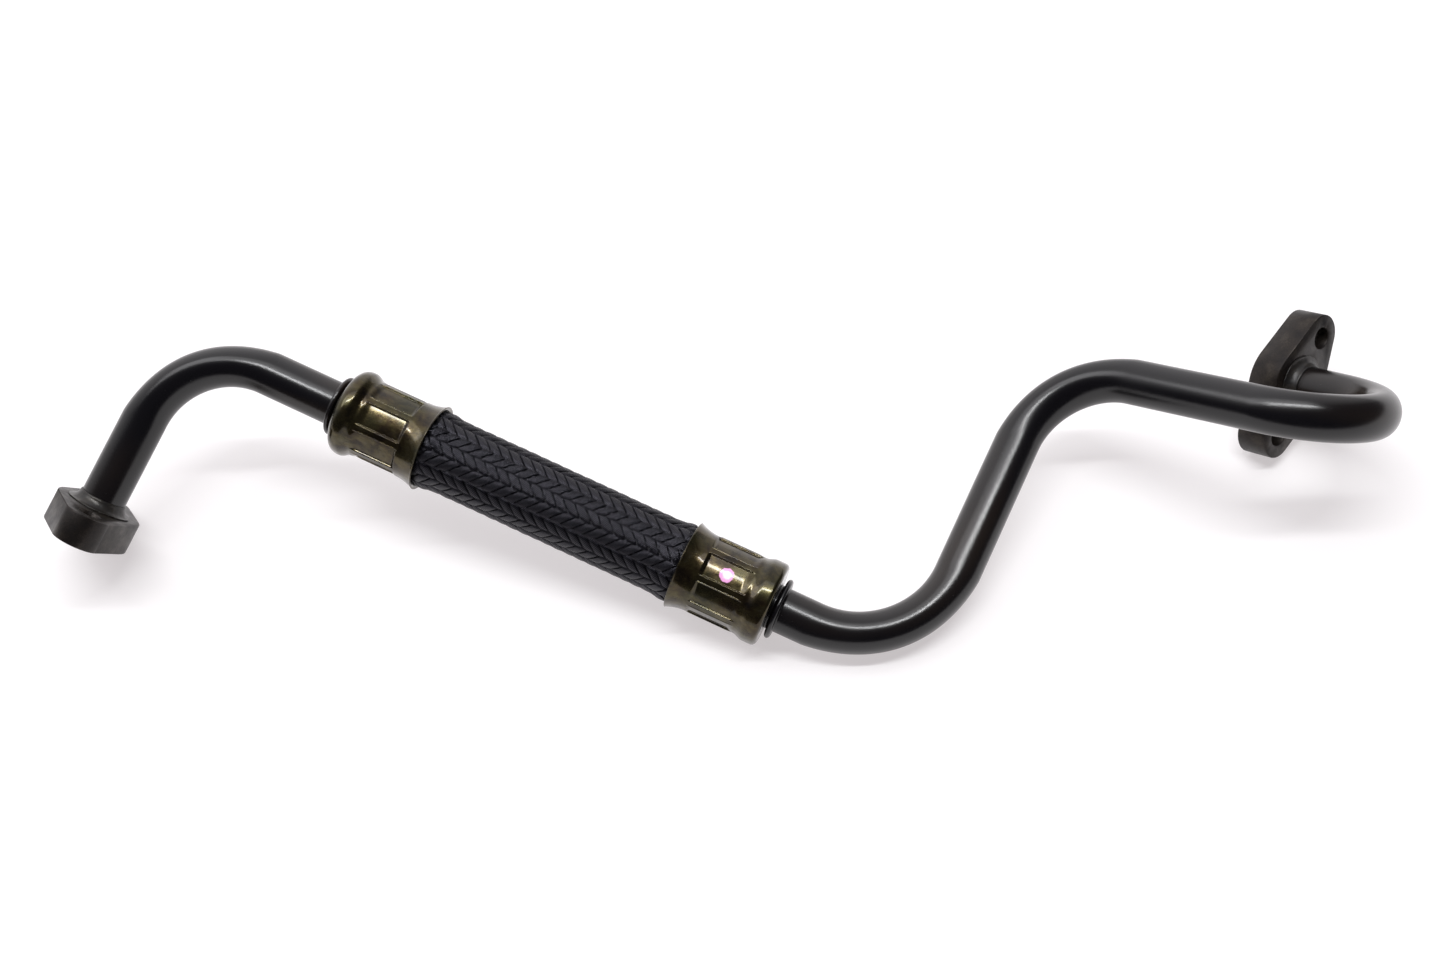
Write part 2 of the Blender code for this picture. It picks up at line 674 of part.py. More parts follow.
def build():
    clear_scene()
    parts = new_collection("oil_cooler_line")
    cutters = new_collection("cutters")
    tube_black = material("tube_coating", (0.018, 0.017, 0.018), 0.32, 0.6)
    flange_black = material("flange_phosphate", (0.035, 0.032, 0.028), 0.55, 0.5)
    plating = material("ferrule_plating", (0.13, 0.11, 0.045), 0.3, 0.9)
    rubber = material("rubber", (0.015, 0.015, 0.015), 0.7)
    textile = material("textile", (0.03, 0.03, 0.035), 0.8)

    for end, sign, bends, run, clocking in (
        ("cooler", -1, COOLER_BENDS, COOLER_END_RUN, COOLER_FLANGE_CLOCKING),
        ("engine", 1, ENGINE_BENDS, ENGINE_END_RUN, ENGINE_FLANGE_CLOCKING),
    ):
        face = tube(end + "_tube", sign, bends, run, tube_black, parts, cutters)
        ears = Quaternion(face.heading, radians(clocking)) @ face.side
        frame = tangent_frame(face.point, face.heading, ears)
        flange(end + "_flange", frame, flange_black, parts, cutters)
        seal(end + "_flange_seal", frame, rubber, parts)
        braze(end + "_flange_braze", frame, flange_black, parts)

    up = Vector((0, 0, 1))
    mouth = HOSE_VISIBLE_LENGTH / 2
    ferrule("cooler_ferrule", COOLER_BULGE_RADIUS, COOLER_END_ROUNDING, COOLER_POCKET_CLOCKING,
            tangent_frame(Vector((-mouth, 0, 0)), Vector((-1, 0, 0)), up), plating, parts)
    ferrule("engine_ferrule", ENGINE_BULGE_RADIUS, ENGINE_END_ROUNDING, ENGINE_POCKET_CLOCKING,
            tangent_frame(Vector((mouth, 0, 0)), Vector((1, 0, 0)), up), plating, parts)
    for index, look in enumerate((rubber, textile, rubber)):
        hose_layer(index, look, parts)
    braid(textile, parts, cutters)

    densities = {piece.name: STEEL for piece in parts.objects}
    densities.update({"cooler_flange_seal": RUBBER, "engine_flange_seal": RUBBER})
    densities.update(zip([name for name, _ in LAYERS], (RUBBER, TEXTILE, RUBBER, TEXTILE)))
    lay_down(parts, densities)


build()
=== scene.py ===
"""The oil cooler line as the photograph shows it: coated tubes, plated ferrules, woven braid.

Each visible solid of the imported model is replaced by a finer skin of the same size. The skins are
drawn with the hose along X, as the solids are, and then laid down with them.
Metres and degrees, +Z up.
"""
import json
from collections import namedtuple
from math import acos, atan, ceil, cos, degrees, pi, radians, sin

import bmesh
import bpy
import numpy as np
from mathutils import Matrix, Quaternion, Vector

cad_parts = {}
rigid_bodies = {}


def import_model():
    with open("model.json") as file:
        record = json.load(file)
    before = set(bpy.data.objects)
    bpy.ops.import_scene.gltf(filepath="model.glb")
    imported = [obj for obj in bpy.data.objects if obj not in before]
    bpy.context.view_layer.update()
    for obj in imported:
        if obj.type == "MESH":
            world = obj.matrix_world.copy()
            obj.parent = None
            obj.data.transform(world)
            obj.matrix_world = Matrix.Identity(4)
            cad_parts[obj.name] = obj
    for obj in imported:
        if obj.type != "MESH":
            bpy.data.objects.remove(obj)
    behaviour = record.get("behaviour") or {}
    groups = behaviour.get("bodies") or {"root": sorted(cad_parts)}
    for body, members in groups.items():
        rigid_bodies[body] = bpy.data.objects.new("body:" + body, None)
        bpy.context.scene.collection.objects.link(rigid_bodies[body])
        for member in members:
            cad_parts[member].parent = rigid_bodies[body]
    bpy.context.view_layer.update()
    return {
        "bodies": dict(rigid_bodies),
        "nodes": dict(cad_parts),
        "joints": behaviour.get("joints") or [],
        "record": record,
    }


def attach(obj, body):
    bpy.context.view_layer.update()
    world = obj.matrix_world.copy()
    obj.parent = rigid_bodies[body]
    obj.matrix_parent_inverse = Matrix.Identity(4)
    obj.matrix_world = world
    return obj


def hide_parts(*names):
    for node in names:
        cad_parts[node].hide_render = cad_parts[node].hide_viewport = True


# Sizes that the solids have
SEAT_GAP = 0.0003
TUBE_RADIUS = 0.0070
TUBE_WALL = 0.00125
BEAD_RADIUS = 0.0096
BEAD_WIDTH = 0.0020
BEAD_STANDOFF = 0.0010
BEND_OUTER_FLATTENING = 0.13
BEND_INNER_FLATTENING = 0.03
BEND_WIDENING = 0.02
Bend = namedtuple("Bend", "run roll angle radius")
COOLER_BENDS = [Bend(0.0266, 161.0, 86.5, 0.0315)]
COOLER_END_RUN = 0.0310
COOLER_FLANGE_CLOCKING = 72.5
ENGINE_BENDS = [
    Bend(0.0125, 2.5, 89.5, 0.034),
    Bend(0.0460, 147.5, 91.5, 0.028),
    Bend(0.0405, 126.0, 169.5, 0.025),
]
ENGINE_END_RUN = 0.0145
ENGINE_FLANGE_CLOCKING = 116.0
HOSE_VISIBLE_LENGTH = 0.0860
HOSE_RADIUS = 0.0122
BRAID_SWELL = 0.0007
BRAID_SWELL_LENGTH = 0.0070
FERRULE_LENGTH = 0.0300
FERRULE_WALL = 0.0011
FERRULE_END_WALL = 0.0014
WAIST_RADIUS = 0.01245
FLARE_LENGTH = 0.0065
FLARE_RISE = 0.0015
SHOULDER_LENGTH = 0.0035
BULGE_LENGTH = 0.0042
POCKET_LENGTH = FERRULE_LENGTH - FLARE_LENGTH - SHOULDER_LENGTH - BULGE_LENGTH
POCKET_COUNT = 8
POCKET_HALF_ANGLE = 17.5
POCKET_WALL_ANGLE = 1.3
POCKET_APOTHEM = 0.01165
COOLER_BULGE_RADIUS = 0.0139
COOLER_END_ROUNDING = 0.0036
ENGINE_BULGE_RADIUS = 0.0134
ENGINE_END_ROUNDING = 0.0016
FLANGE_THICKNESS = 0.0100
FLANGE_CENTRE_RADIUS = 0.0135
FLANGE_EAR_RADIUS = 0.0075
FLANGE_EDGE = 0.0006
BOLT_PITCH = 0.0340
BOLT_HOLE_RADIUS = 0.0035
SOCKET_DEPTH = 0.0060
PORT_RADIUS = 0.0055
SEAL_RADIUS = 0.0096
SEAL_CORD_RADIUS = 0.0010
SEAL_GROOVE_WIDTH = 0.0027
BRAZE_LEG = 0.0030
BRAZE_HEIGHT = 0.0032
BRAZE_EDGE = 0.0004
LIP = HOSE_VISIBLE_LENGTH / 2 + FERRULE_LENGTH

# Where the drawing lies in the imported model
LAID = Matrix((
    (0.888243, 0.450005, 0.092310, -0.046851),
    (-0.414194, 0.871449, -0.262715, -0.009237),
    (-0.198666, 0.195121, 0.960448, 0.027293),
    (0.0, 0.0, 0.0, 1.0),
))

# Fine detail of the tubes, ferrules and fillets. The pockets' turns are the photograph's, 6 and 8.5
# degrees off those of the solids. A ripple is (height, waves round the joint, shift).
COOLER_POCKET_CLOCKING = -11.0
ENGINE_POCKET_CLOCKING = 0.5
RING_SIDES = 72
TUBE_STEP = 0.0012
BEND_STEP = 2.0
TUBE_START = LIP - 0.0040
TUBE_EDGE = 0.0002
BEAD_STEPS = 18
BEAD_CLEARANCE = 0.0004
PAST_BEAD = BEAD_STANDOFF + BEAD_WIDTH + BEAD_CLEARANCE
RIM_ROUNDING = 0.0003
POCKET_CROWN = 0.00028
POCKET_MOUTH_SLOPE = 0.0013
POCKET_END_SLOPE = 0.0026
POCKET_LIP = 0.00012
POCKET_LIP_ANGLE = 0.55
MOUTH_SQUEEZE = 0.0008
LIP_CHAMFER = 0.0002
CUT_PAST = 0.0020
BRAZE_GAP = 0.00002
BRAZE_LIFT = 0.00005
BRAZE_TOE = 0.0003
BRAZE_RIPPLES = [(0.00011, 5, 1.3), (0.00006, 13, 0.0), (0.00004, 29, 2.0)]

# The braid: two sets of flat strands, each of several yarns, over two and under two
STRANDS = 18
STRAND_PITCH = 0.00381
STRAND_CLOCKING = 9.4
STRAND_OFFSET = -0.02375
STRAND_COVER = 0.93
STRAND_REACH = HOSE_VISIBLE_LENGTH / 2 + 0.0035
WEAVE_HEIGHT = 0.00029
STRAND_CROWN = 0.00024
STRAND_DEPTH = 0.00046
STRAND_EDGE = 0.9
STRAND_SINK = 2.2
STRAND_WANDER = 0.02
STRAND_WAVES = 260
WEAVE_SHARPNESS = 3.2
YARNS = 6
YARN_BUMP = 0.00012
YARN_POINTS = 2
STRAND_STEP = 0.00042

# Pink mark on the engine ferrule, its pale middle a painted highlight: distance from the mouth, turn,
# and radius
MARK_ALONG = 0.0144
MARK_TURN = 2.0
MARK_RADIUS = 0.0023

# Camera: the photograph's own, found from the bends
PHOTO_SIZE = (1445, 957)
FOCAL_PIXELS = 1835.5
CAMERA_PLACE = Vector((0.02919, -0.31898, 0.49336))
CAMERA_AIM = Vector((-0.04424, 0.56192, -0.82601))
CAMERA_UP = Vector((0.04712, 0.82707, 0.56012))

# Stage: the floor, the lamps' places, and the direction to the pale side of the room
FLOOR_REACH = 6.0
FLOOR_GLOW = 0.54
CEILING_LAMP = Vector((0.03, -0.01, 1.60))
BACK_LAMP = Vector((-0.05, 0.38, 1.60))
LEFT_LAMP = Vector((-1.15, 0.30, 1.60))
PALE_WALL = Vector((-0.35, 0.85, 0.40))

Station = namedtuple("Station", "point heading side across squash along")


# Node materials

def add(tree, kind, inputs=None, **settings):
    """A shader node with its settings; an input is a value or another node's output."""
    node = tree.nodes.new("ShaderNode" + kind)
    for key, value in settings.items():
        setattr(node, key, value)
    for key, value in (inputs or {}).items():
        if isinstance(value, bpy.types.NodeSocket):
            tree.links.new(value, node.inputs[key])
        else:
            node.inputs[key].default_value = value
    return node


def blank_material(name):
    made = bpy.data.materials.new(name)
    made.use_nodes = True
    tree = made.node_tree
    tree.nodes.clear()
    return made, tree


def stretched(tree, scale, offset=(0.0, 0.0, 0.0)):
    """The skin's own coordinates, in metres, scaled per axis and moved."""
    source = add(tree, "Attribute", attribute_name="place").outputs["Vector"]
    inputs = {"Vector": source, "Scale": scale, "Location": offset}
    return add(tree, "Mapping", inputs).outputs["Vector"]


def noise(tree, vector, scale, detail=3.0, roughness=0.55, distortion=0.0):
    inputs = {
        "Vector": vector, "Scale": scale, "Detail": detail,
        "Roughness": roughness, "Distortion": distortion,
    }
    return add(tree, "TexNoise", inputs).outputs["Fac"]


def ramp(tree, value, stops, smooth=False):
    """Colours or grey levels over a value; stops are (position, colour or grey)."""
    node = add(tree, "ValToRGB", {"Fac": value})
    node.color_ramp.interpolation = "EASE" if smooth else "LINEAR"
    elements = node.color_ramp.elements
    while len(elements) < len(stops):
        elements.new(0.5)
    for element, (position, colour) in zip(elements, stops):
        element.position = position
        rgb = colour if isinstance(colour, tuple) else (colour, colour, colour)
        element.color = (*rgb, 1.0)
    return node.outputs["Color"]


def mix(tree, share, first, second, blend="MIX"):
    """Two colours mixed by a share; the Mix node's colour sockets are its inputs 6 and 7."""
    node = add(tree, "Mix", data_type="RGBA", blend_type=blend)
    for socket, value in (
        (node.inputs[0], share), (node.inputs[6], first), (node.inputs[7], second),
    ):
        if isinstance(value, bpy.types.NodeSocket):
            tree.links.new(value, socket)
        else:
            socket.default_value = value
    return node.outputs[2]


def math(tree, operation, first, second=0.0):
    return add(tree, "Math", {0: first, 1: second}, operation=operation).outputs["Value"]


def bump(tree, height, strength, distance):
    inputs = {"Height": height, "Strength": strength, "Distance": distance}
    return add(tree, "Bump", inputs).outputs["Normal"]


def surface_output(tree, inputs):
    shader = add(tree, "BsdfPrincipled", inputs)
    add(tree, "OutputMaterial", {"Surface": shader.outputs["BSDF"]})


def tube_coating():
    """Satin black coating over drawn tube, a little warm in places, with specks of dust."""
    made, tree = blank_material("tube_coating")
    blotch = noise(tree, stretched(tree, (1, 1, 0.35)), 110, detail=4)
    warm = noise(tree, stretched(tree, (1, 1, 0.2), (3, 1, 2)), 45, detail=2)
    drawn = noise(tree, stretched(tree, (1, 1, 0.02), (1, 5, 0)), 1800, detail=3)
    grain = noise(tree, stretched(tree, (1, 1, 1)), 3800, detail=2)
    speck = noise(tree, stretched(tree, (1, 1, 1), (7, 2, 1)), 900, detail=3, roughness=0.7)
    coat = ramp(tree, warm, [(0.40, (0.0036, 0.0032, 0.0042)), (0.64, (0.0170, 0.0115, 0.0080))], True)
    dust = ramp(tree, speck, [(0.70, 0.0), (0.78, 1.0)])
    colour = mix(tree, math(tree, "MULTIPLY", dust, 0.16), coat, (0.09, 0.085, 0.08, 1))
    rough = ramp(tree, blotch, [(0.32, 0.170), (0.68, 0.260)])
    height = math(tree, "ADD", math(tree, "MULTIPLY", drawn, 0.35), grain)
    surface_output(tree, {
        "Base Color": colour,
        "Roughness": math(tree, "ADD", rough, math(tree, "MULTIPLY", dust, 0.2)),
        "Normal": bump(tree, height, 0.24, 0.00005),
        "IOR": 1.50,
        "Specular IOR Level": 0.50,
    })
    return made


def flange_phosphate():
    """Dark phosphated steel: cloudy, finely pitted."""
    made, tree = blank_material("flange_phosphate")
    place = add(tree, "TexCoord").outputs["Object"]
    cloud = noise(tree, place, 160, detail=5, roughness=0.6)
    grain = noise(tree, place, 2400, detail=3, roughness=0.7)
    pit = noise(tree, place, 700, detail=3, roughness=0.6)
    tone = ramp(tree, cloud, [
        (0.30, (0.009, 0.007, 0.007)), (0.52, (0.021, 0.016, 0.013)), (0.72, (0.050, 0.041, 0.032)),
    ])
    speckle = ramp(tree, grain, [(0.38, 0.62), (0.66, 1.25)])
    rough = ramp(tree, cloud, [(0.3, 0.44), (0.7, 0.30)])
    height = math(tree, "ADD", math(tree, "MULTIPLY", pit, 1.4), grain)
    surface_output(tree, {
        "Base Color": mix(tree, 1.0, tone, speckle, "MULTIPLY"),
        "Metallic": 0.55,
        "Roughness": math(tree, "ADD", rough, math(tree, "MULTIPLY", pit, 0.08)),
        "Normal": bump(tree, height, 0.30, 0.00006),
        "Specular IOR Level": 0.5,
    })
    return made


def ferrule_plating(name, mark=None):
    """Yellow passivated plating gone olive and brown; mark is the centre of a pink inspection dab,
    whose near-white middle is a painted highlight.
    """
    made, tree = blank_material(name)
    cloud = noise(tree, stretched(tree, (1, 1, 0.8)), 230, detail=5, roughness=0.65, distortion=0.5)
    stain = noise(tree, stretched(tree, (1, 1, 0.6), (4, 4, 2)), 420, detail=4, roughness=0.65)
    tint = noise(tree, stretched(tree, (1, 1, 1), (9, 1, 5)), 95, detail=2)
    speck = noise(tree, stretched(tree, (1, 1, 1), (2, 8, 3)), 1900, detail=2)
    colour = ramp(tree, cloud, [
        (0.30, (0.012, 0.007, 0.004)), (0.44, (0.038, 0.025, 0.009)),
        (0.56, (0.066, 0.051, 0.018)), (0.72, (0.092, 0.074, 0.048)),
    ])
    green = ramp(tree, tint, [(0.45, 0.0), (0.66, 0.5)])
    colour = mix(tree, green, colour, (0.046, 0.047, 0.016, 1))
    dark = ramp(tree, stain, [(0.36, 0.52), (0.56, 1.0)])
    colour = mix(tree, 1.0, colour, dark, "MULTIPLY")
    rough = ramp(tree, stain, [(0.3, 0.34), (0.65, 0.16)])
    bare_metal = 0.85
    metal = bare_metal
    height = math(tree, "ADD", math(tree, "MULTIPLY", stain, 0.5), speck)
    if mark is not None:
        ends = {0: stretched(tree, (1, 1, 1)), 1: mark}
        offset = add(tree, "VectorMath", ends, operation="DISTANCE")
        edge = noise(tree, stretched(tree, (1, 1, 1)), 900)
        ragged = math(tree, "MULTIPLY", edge, MARK_RADIUS * 0.5)
        reach = math(tree, "ADD", offset.outputs["Value"], ragged)
        share = math(tree, "DIVIDE", reach, MARK_RADIUS * 1.25)
        painted = ramp(tree, share, [(0.90, 1.0), (0.97, 0.0)])
        # The dab is pink at its rim and near white in its middle; the pale middle is a painted
        # highlight, not its own colour.
        paint_with_painted_highlight = ramp(tree, share, [(0.50, (0.95, 0.90, 0.94)), (0.74, (0.90, 0.36, 0.74))], True)
        colour = mix(tree, painted, colour, paint_with_painted_highlight)
        rough = mix(tree, painted, rough, (0.42, 0.42, 0.42, 1))
        metal = math(tree, "SUBTRACT", bare_metal, math(tree, "MULTIPLY", painted, bare_metal))
        height = math(tree, "ADD", height, math(tree, "MULTIPLY", painted, 1.5))
    surface_output(tree, {
        "Base Color": colour,
        "Metallic": metal,
        "Roughness": rough,
        "Normal": bump(tree, height, 0.22, 0.00003),
        "Coat Weight": 0.55,
        "Coat Roughness": 0.09,
        "Coat IOR": 1.45,
    })
    return made


def woven_yarn():
    """Black twisted yarn. place holds (across the strand, along it, strand number)."""
    made, tree = blank_material("hose_textile")
    strand = noise(tree, stretched(tree, (0, 0, 7.3)), 1.0, detail=0)
    wear = noise(tree, stretched(tree, (1, 1, 0.11)), 210, detail=3)
    twist = add(tree, "TexWave", {
        "Vector": stretched(tree, (0.7, 1, 0)), "Scale": 1150,
        "Distortion": 2.0, "Detail": 2, "Detail Scale": 2,
    }, bands_direction="DIAGONAL").outputs["Fac"]
    fibre = noise(tree, stretched(tree, (1, 0.06, 3)), 5200, detail=2)
    tone = ramp(tree, wear, [
        (0.32, (0.0012, 0.0011, 0.0017)), (0.60, (0.0024, 0.0023, 0.0034)),
        (0.8, (0.0055, 0.0052, 0.0070)),
    ])
    colour = mix(tree, 1.0, tone, ramp(tree, strand, [(0.2, 0.65), (0.8, 1.35)]), "MULTIPLY")
    height = math(tree, "ADD", twist, math(tree, "MULTIPLY", fibre, 1.2))
    surface_output(tree, {
        "Base Color": colour,
        "Roughness": ramp(tree, twist, [(0.2, 0.28), (0.8, 0.13)]),
        "Normal": bump(tree, height, 0.6, 0.00006),
        "IOR": 1.40,
        "Specular Tint": (0.88, 0.86, 1.0, 1),
        "Sheen Weight": 0.03,
        "Sheen Roughness": 0.4,
    })
    return made


def rubber(name, tone):
    """Matt black rubber round a grey level."""
    made, tree = blank_material(name)
    place = add(tree, "TexCoord").outputs["Object"]
    cloud = noise(tree, place, 260, detail=4)
    grain = noise(tree, place, 3000, detail=2)
    surface_output(tree, {
        "Base Color": ramp(tree, cloud, [(0.3, tone * 0.7), (0.7, tone * 1.3)]),
        "Roughness": ramp(tree, cloud, [(0.3, 0.42), (0.7, 0.60)]),
        "Normal": bump(tree, grain, 0.25, 0.00004),
    })
    return made


def braze_metal():
    """The rippled fillet under the same dark finish."""
    made, tree = blank_material("braze_metal")
    vector = stretched(tree, (1, 1, 1))
    cloud = noise(tree, vector, 260, detail=4)
    ripple = noise(tree, stretched(tree, (1, 1, 2)), 620, detail=3, distortion=0.6)
    surface_output(tree, {
        "Base Color": ramp(tree, cloud, [(0.35, (0.014, 0.013, 0.013)), (0.7, (0.036, 0.031, 0.025))]),
        "Metallic": 0.3,
        "Roughness": ramp(tree, cloud, [(0.3, 0.40), (0.7, 0.28)]),
        "Normal": bump(tree, ripple, 0.45, 0.00014),
    })
    return made


# Skins

def laid(points, frame=None):
    """Points of the drawing, or of a frame in it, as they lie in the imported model."""
    matrix = np.array(LAID if frame is None else LAID @ frame)
    return np.asarray(points) @ matrix[:3, :3].T + matrix[:3, 3]


def skin(name, points, place, look, slot, node):
    """A smooth mesh through rows of points; each row is a ring, and the last row joins the first."""
    rows, columns = points.shape[:2]
    here, across = np.meshgrid(np.arange(rows), np.arange(columns), indexing="ij")
    after, beside = (here + 1) % rows, (across + 1) % columns
    sides = [
        here * columns + across, here * columns + beside,
        after * columns + beside, after * columns + across,
    ]
    faces = np.stack(sides, axis=-1).reshape(-1, 4)
    mesh = placed_mesh(name, points, faces, place)
    return dress(name, mesh, look, slot, node)


def placed_mesh(name, points, faces, place):
    """A mesh that carries each point's own finish coordinates."""
    mesh = bpy.data.meshes.new(name)
    mesh.from_pydata(points.reshape(-1, 3).tolist(), [], faces.tolist())
    attribute = mesh.attributes.new("place", "FLOAT_VECTOR", "POINT")
    attribute.data.foreach_set("vector", np.ascontiguousarray(place, dtype=np.float32).ravel())
    return mesh


def dress(name, mesh, look, slot, *nodes):
    """The mesh as a smooth piece of the model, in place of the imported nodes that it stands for."""
    mesh.materials.clear()
    mesh.materials.append(look)
    mesh.shade_smooth()
    piece = bpy.data.objects.new(name, mesh)
    bpy.context.scene.collection.objects.link(piece)
    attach(piece, "root")
    if nodes:
        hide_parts(*nodes)
    return piece


def turned(profile, sides):
    """Rows of points round local Z from (along, radius) pairs; they are their own finish places."""
    profile = np.asarray(profile, dtype=float)
    turn = np.arange(sides) * 2 * pi / sides
    radius, along = profile[:, 1, None], profile[:, 0, None] + 0 * turn
    return np.stack([radius * np.cos(turn), radius * np.sin(turn), along], axis=-1)


def smoothstep(low, high, value):
    share = np.clip((value - low) / (high - low), 0.0, 1.0)
    return share * share * (3 - 2 * share)


# Tubes

def bent_route(sign, bends, end_run):
    """Stations from the ferrule's lip to the flange: along each run and round each bend."""
    point, heading = Vector((sign * LIP, 0, 0)), Vector((sign, 0, 0))
    side, across, along = Vector((0, 1, 0)), Vector((0, 1, 0)), 0.0
    stations = []

    def run(length):
        steps = max(1, ceil(length / TUBE_STEP))
        for step in range(1, steps + 1):
            gone = length * step / steps
            stations.append(Station(point + heading * gone, heading, side, across, 0.0, along + gone))

    for bend in bends:
        run(bend.run)
        point, along = stations[-1].point, stations[-1].along
        side = Quaternion(heading, radians(bend.roll)) @ side
        axis, centre = heading.cross(side), point + side * bend.radius
        steps = ceil(bend.angle / BEND_STEP)
        for step in range(1, steps + 1):
            share = step / steps
            turn = Quaternion(axis, radians(bend.angle) * share)
            stations.append(Station(
                centre + turn @ (point - centre), turn @ heading, turn @ side, turn @ across,
                1 - (1 - sin(pi * share)) ** 2.2, along + radians(bend.angle) * share * bend.radius,
            ))
        last = stations[-1]
        point, heading, side = last.point, last.heading, last.side
        across, along = last.across, last.along
    run(end_run)
    return stations


def tube_profile(sign, bends, end_run):
    """(station, outer radius) from inside the ferrule, over the bead, to the seat in the flange."""
    side = Vector((0, 1, 0))
    bead = LIP + BEAD_STANDOFF
    on_axis = [(TUBE_START, TUBE_RADIUS), (bead - 0.0005, TUBE_RADIUS)]
    for step in range(BEAD_STEPS + 1):
        angle = pi * step / BEAD_STEPS
        rise = max(0.0, sin(angle)) ** 0.5
        along = bead + BEAD_WIDTH / 2 * (1 - cos(angle))
        on_axis.append((along, TUBE_RADIUS + (BEAD_RADIUS - TUBE_RADIUS) * rise))
    path = []
    for along, radius in on_axis:
        point, heading = Vector((sign * along, 0, 0)), Vector((sign, 0, 0))
        path.append((Station(point, heading, side, side, 0.0, along - LIP), radius))
    route = bent_route(sign, bends, end_run)
    path += [(station, TUBE_RADIUS) for station in route if station.along > PAST_BEAD]
    face = route[-1]
    seat = SOCKET_DEPTH - SEAT_GAP
    tip = face._replace(point=face.point + face.heading * seat, along=face.along + seat)
    path.append((tip, TUBE_RADIUS))
    return path, face


def ring(station, radius):
    """A ring of points round a station, oval where the bend flattens the tube."""
    other = station.heading.cross(station.across)
    turn = np.arange(RING_SIDES) * 2 * pi / RING_SIDES
    offset = radius * (np.outer(np.cos(turn), station.across) + np.outer(np.sin(turn), other))
    side, wide = np.array(station.side), np.array(station.heading.cross(station.side))
    inward, outward = offset @ side, offset @ wide
    share = np.where(inward > 0, BEND_INNER_FLATTENING, BEND_OUTER_FLATTENING) * station.squash
    offset -= np.outer(inward * share, side)
    offset += np.outer(outward * BEND_WIDENING * station.squash, wide)
    place = np.stack([radius * np.cos(turn), radius * np.sin(turn), 0 * turn + station.along], axis=-1)
    return offset + np.array(station.point), place


def tube(end, sign, bends, end_run, look):
    """The skin of one tube, outside and inside. Returns its station on the flange's near face."""
    path, face = tube_profile(sign, bends, end_run)
    bore = TUBE_RADIUS - TUBE_WALL
    tip, start = path[-1][0], path[0][0]
    back = tip._replace(point=tip.point - tip.heading * TUBE_EDGE)
    outer = path[:-1] + [
        (back, TUBE_RADIUS), (tip, TUBE_RADIUS - TUBE_EDGE), (tip, bore + TUBE_EDGE), (back, bore),
    ]
    inner = [(station, bore) for station, _ in path[:-1] if station.along > PAST_BEAD]
    rings = [ring(station, radius) for station, radius in outer + inner[::-1] + [(start, bore)]]
    points = laid(np.array([made for made, _ in rings]))
    place = np.array([made for _, made in rings])
    if sign > 0:
        place[..., 2] += 1.0
    skin(end + "_tube_skin", points, place, look, "tube_coating", end + "_tube")
    return face


# Ferrules

def outline_radius(along, bulge_radius, end_rounding):
    """Outer radius of a ferrule at a distance from its mouth, before the pockets are pressed."""
    flare = WAIST_RADIUS + FLARE_RISE * np.clip(1 - along / FLARE_LENGTH, 0, 1) ** 2
    pocket_end = FLARE_LENGTH + POCKET_LENGTH
    rise = (1 - np.cos(pi * np.clip((along - pocket_end) / SHOULDER_LENGTH, 0, 1))) / 2
    rounded = np.clip((along - FERRULE_LENGTH + end_rounding) / end_rounding, 0, 1)
    fall = end_rounding * (1 - np.sqrt(1 - rounded**2))
    return flare + (bulge_radius - WAIST_RADIUS) * rise - fall


def ferrule_stations(end_rounding):
    """Distances from the mouth, closer together where the shape turns quickly."""
    pocket_end = FLARE_LENGTH + POCKET_LENGTH
    slope_in = np.linspace(FLARE_LENGTH - 0.0002, FLARE_LENGTH + POCKET_MOUTH_SLOPE + 0.0002, 12)
    slope_out = np.linspace(pocket_end - POCKET_END_SLOPE - 0.0002, pocket_end + 0.0002, 14)
    rounding = FERRULE_LENGTH - end_rounding * (1 - np.sin(np.linspace(0.02, pi / 2, 16)))
    runs = [
        np.linspace(RIM_ROUNDING, FLARE_LENGTH - 0.0006, 14), slope_in,
        np.linspace(slope_in[-1], slope_out[0], 10)[1:-1], slope_out,
        np.linspace(pocket_end + 0.0005, pocket_end + SHOULDER_LENGTH, 12), rounding,
    ]
    return np.unique(np.concatenate(runs).round(7))


def ferrule_columns():
    """Turns round the ferrule, closer together at the pockets' long edges."""
    half = 180.0 / POCKET_COUNT
    edge = np.linspace(POCKET_HALF_ANGLE - POCKET_WALL_ANGLE - 0.5, POCKET_HALF_ANGLE + 1.4, 11)
    sector = np.concatenate([np.linspace(0, edge[0], 6)[:-1], edge, np.linspace(edge[-1], half, 4)[1:]])
    sector = np.concatenate([-sector[:0:-1], sector[:-1]])
    return np.concatenate([sector + number * 2 * half for number in range(POCKET_COUNT)])


def pressed_radius(turn, along, outline):
    """Outer radius with the flat pockets pressed in, their edges a little raised by the dies."""
    sector = 360.0 / POCKET_COUNT
    angle = np.abs((turn + sector / 2) % sector - sector / 2)
    pocket_end = FLARE_LENGTH + POCKET_LENGTH
    lengthways = smoothstep(FLARE_LENGTH, FLARE_LENGTH + POCKET_MOUTH_SLOPE, along)
    lengthways = lengthways * (1 - smoothstep(pocket_end - POCKET_END_SLOPE, pocket_end, along))
    foot = POCKET_HALF_ANGLE - POCKET_WALL_ANGLE
    pressed = lengthways * (1 - smoothstep(foot, POCKET_HALF_ANGLE, angle))
    floor = POCKET_APOTHEM / np.cos(np.radians(angle)) - POCKET_CROWN * (angle / POCKET_HALF_ANGLE) ** 2
    lip = POCKET_LIP * np.exp(-((angle - POCKET_HALF_ANGLE - POCKET_LIP_ANGLE) / POCKET_LIP_ANGLE) ** 2)
    return outline * (1 - pressed) + floor * pressed + lip * lengthways


